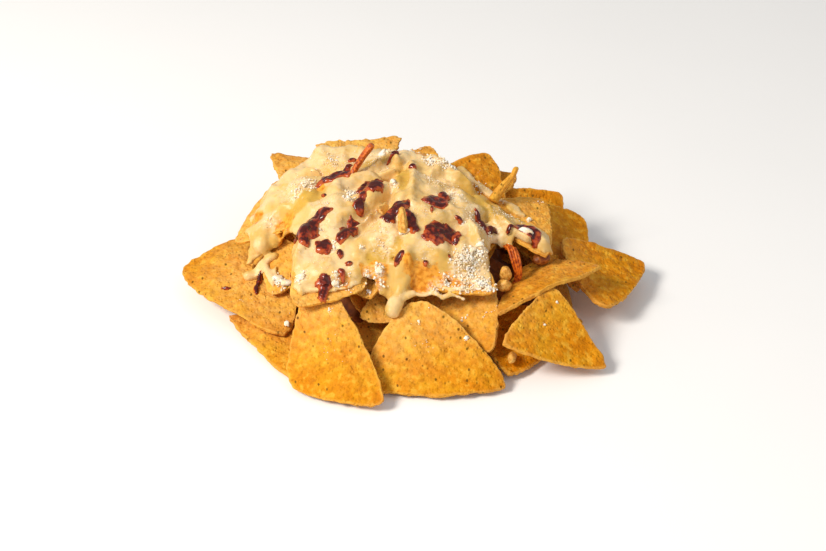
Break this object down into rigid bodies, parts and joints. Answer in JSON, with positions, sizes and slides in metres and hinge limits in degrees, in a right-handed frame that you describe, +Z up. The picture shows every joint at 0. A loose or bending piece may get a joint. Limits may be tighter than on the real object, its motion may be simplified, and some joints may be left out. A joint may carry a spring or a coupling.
{
  "type": "heap of loaded nachos",
  "caption": "Loose heap of triangular corn chips laid in a ring and stacked to a low peak, with cheese sauce over the top, grated cheese, dark sauce and bits of meat.",
  "frame": {"origin": "on the ground under the middle of the heap: the bottom centre of its bounding box", "axes": "+X to the right of the heap seen from its front, +Y to its back, +Z up"},
  "size_m": [0.2316, 0.1924, 0.0724],
  "materials": {
    "corn_chip": "pebbled and matte, with darker flecks and pale rims, as fried corn dough",
    "cheese_sauce": "smooth and softly glossy, slightly translucent",
    "meat": "moist and fibrous",
    "inner_chips": "matte, as the chips"
  },
  "bodies": {
    "root": {"cheese_sauce": "cheese_sauce", "chip_back_left": "corn_chip", "chip_back_left_low": "corn_chip", "chip_back_middle": "corn_chip", "chip_back_middle_right": "corn_chip", "chip_back_right": "corn_chip", "chip_back_right_low": "corn_chip", "chip_behind_left": "corn_chip", "chip_behind_middle": "corn_chip", "chip_behind_right": "corn_chip", "chip_crest_left": "corn_chip", "chip_crest_right": "corn_chip", "chip_front_left": "corn_chip", "chip_front_left_inner": "corn_chip", "chip_front_middle": "corn_chip", "chip_front_small": "corn_chip", "chip_front_small_inner": "corn_chip", "chip_front_upper": "corn_chip", "chip_left": "corn_chip", "chip_left_upper": "corn_chip", "chip_low_left": "corn_chip", "chip_low_right": "corn_chip", "chip_middle_right_front": "corn_chip", "chip_right": "corn_chip", "chip_right_back": "corn_chip", "chip_right_back_inner": "corn_chip", "chip_right_curled": "corn_chip", "chip_right_front": "corn_chip", "chip_right_upper": "corn_chip", "chip_shard_right": "corn_chip", "chip_under_sauce_front": "corn_chip", "chip_under_sauce_left": "corn_chip", "chip_under_sauce_right": "corn_chip", "chip_upper_back_left": "corn_chip", "chip_upper_back_left_rear": "corn_chip", "chip_upper_back_right": "corn_chip", "chip_upper_back_right_rear": "corn_chip", "inner_heap": "inner_chips", "meat_between_lower": "meat", "meat_between_upper": "meat", "meat_cone_top": "meat", "meat_shred_right": "meat", "meat_strip_top": "meat", "meat_under_front": "meat", "meat_under_right": "meat"}
  },
  "joints": []
}
